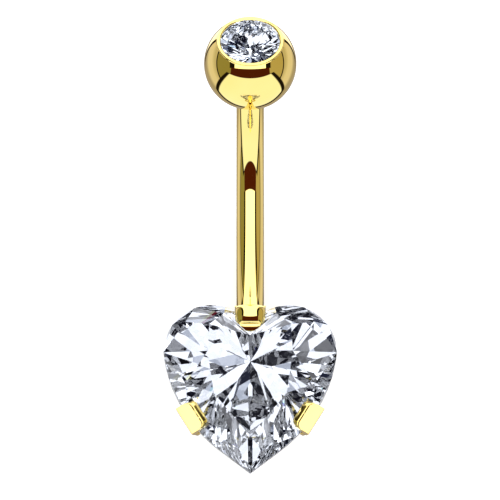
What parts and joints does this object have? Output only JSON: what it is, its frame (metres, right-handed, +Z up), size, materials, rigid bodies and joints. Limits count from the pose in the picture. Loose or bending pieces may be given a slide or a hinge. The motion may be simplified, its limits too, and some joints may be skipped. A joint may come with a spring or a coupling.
{
  "type": "navel ring",
  "caption": "Curved navel barbell with a heart-cut stone in a three-prong basket at one end and a screw-on gem ball at the other.",
  "frame": {"origin": "centre of the part's length and width, on the surface that it lies on, under the lowest point of the foot ring and of the bar's bend", "axes": "+Z up out of the heart's face, +Y along the part from the heart's tip towards the ball, +X across the heart's lobes"},
  "size_m": [0.01, 0.0262, 0.0101],
  "materials": {
    "gold": "polished gold-coloured coating on surgical steel",
    "clear_stone": "polished clear cubic zirconia"
  },
  "bodies": {
    "barbell": {"bar_with_setting": "gold", "heart_stone": "clear_stone"},
    "top_ball": {"screw_ball": "gold", "ball_stone": "clear_stone"}
  },
  "joints": [
    {"name": "ball_unscrew", "type": "slide", "parent": "barbell", "child": "top_ball", "axis": [0, 0.5, 0.866], "range_m": [0, 0.003]}
  ]
}
